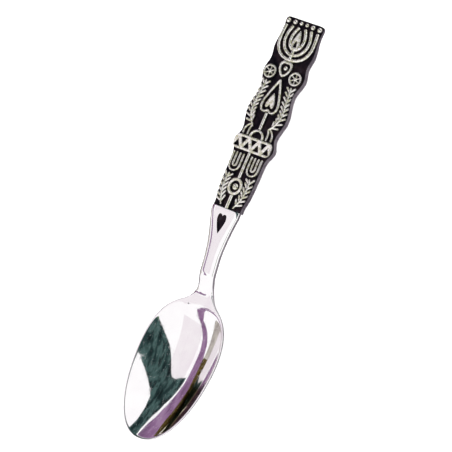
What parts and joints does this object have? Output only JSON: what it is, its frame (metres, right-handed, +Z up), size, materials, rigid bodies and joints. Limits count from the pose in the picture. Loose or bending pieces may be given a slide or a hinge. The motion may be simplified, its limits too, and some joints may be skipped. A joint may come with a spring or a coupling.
{
  "type": "souvenir spoon",
  "caption": "Small silver souvenir spoon with an egg-shaped bowl, a curved stem with a sunk heart, and a flat handle covered in raised folk ornaments on a darkened ground.",
  "frame": {"origin": "centre of the object's bounding box, at the height of the table it lies on", "axes": "+Y from the bowl to the handle tip, +Z up out of the open bowl, +X to the right"},
  "size_m": [0.0232, 0.1146, 0.01],
  "materials": {
    "polished_silver": "mirror-polished silver with fine wipe marks",
    "relief_silver": "buffed cast silver, slightly warm, darker in the corners",
    "oxidised_silver": "near-black sulphide patina on the ground, worn bright on the rim and back"
  },
  "bodies": {
    "root": {"bowl": "polished_silver", "stem": "polished_silver", "handle_plate": "oxidised_silver", "candelabrum": "relief_silver", "flame_bead_outer_left": "relief_silver", "flame_bead_outer_right": "relief_silver", "flame_bead_middle_left": "relief_silver", "flame_bead_middle_right": "relief_silver", "flame_bead_inner_left": "relief_silver", "flame_bead_inner_right": "relief_silver", "medallion_frame": "relief_silver", "medallion_bead": "relief_silver", "rosette_left": "relief_silver", "rosette_right": "relief_silver", "heart_loop": "relief_silver", "inner_heart": "relief_silver", "upper_branch_left": "relief_silver", "upper_branch_right": "relief_silver", "upper_stem": "relief_silver", "crown_arch": "relief_silver", "crown_band": "relief_silver", "outer_prong_left": "relief_silver", "inner_prong_left": "relief_silver", "outer_prong_right": "relief_silver", "inner_prong_right": "relief_silver", "middle_stem": "relief_silver", "disc_ring": "relief_silver", "disc_boss": "relief_silver", "lower_stem": "relief_silver", "lower_branch_left": "relief_silver", "lower_branch_right": "relief_silver"}
  },
  "joints": []
}
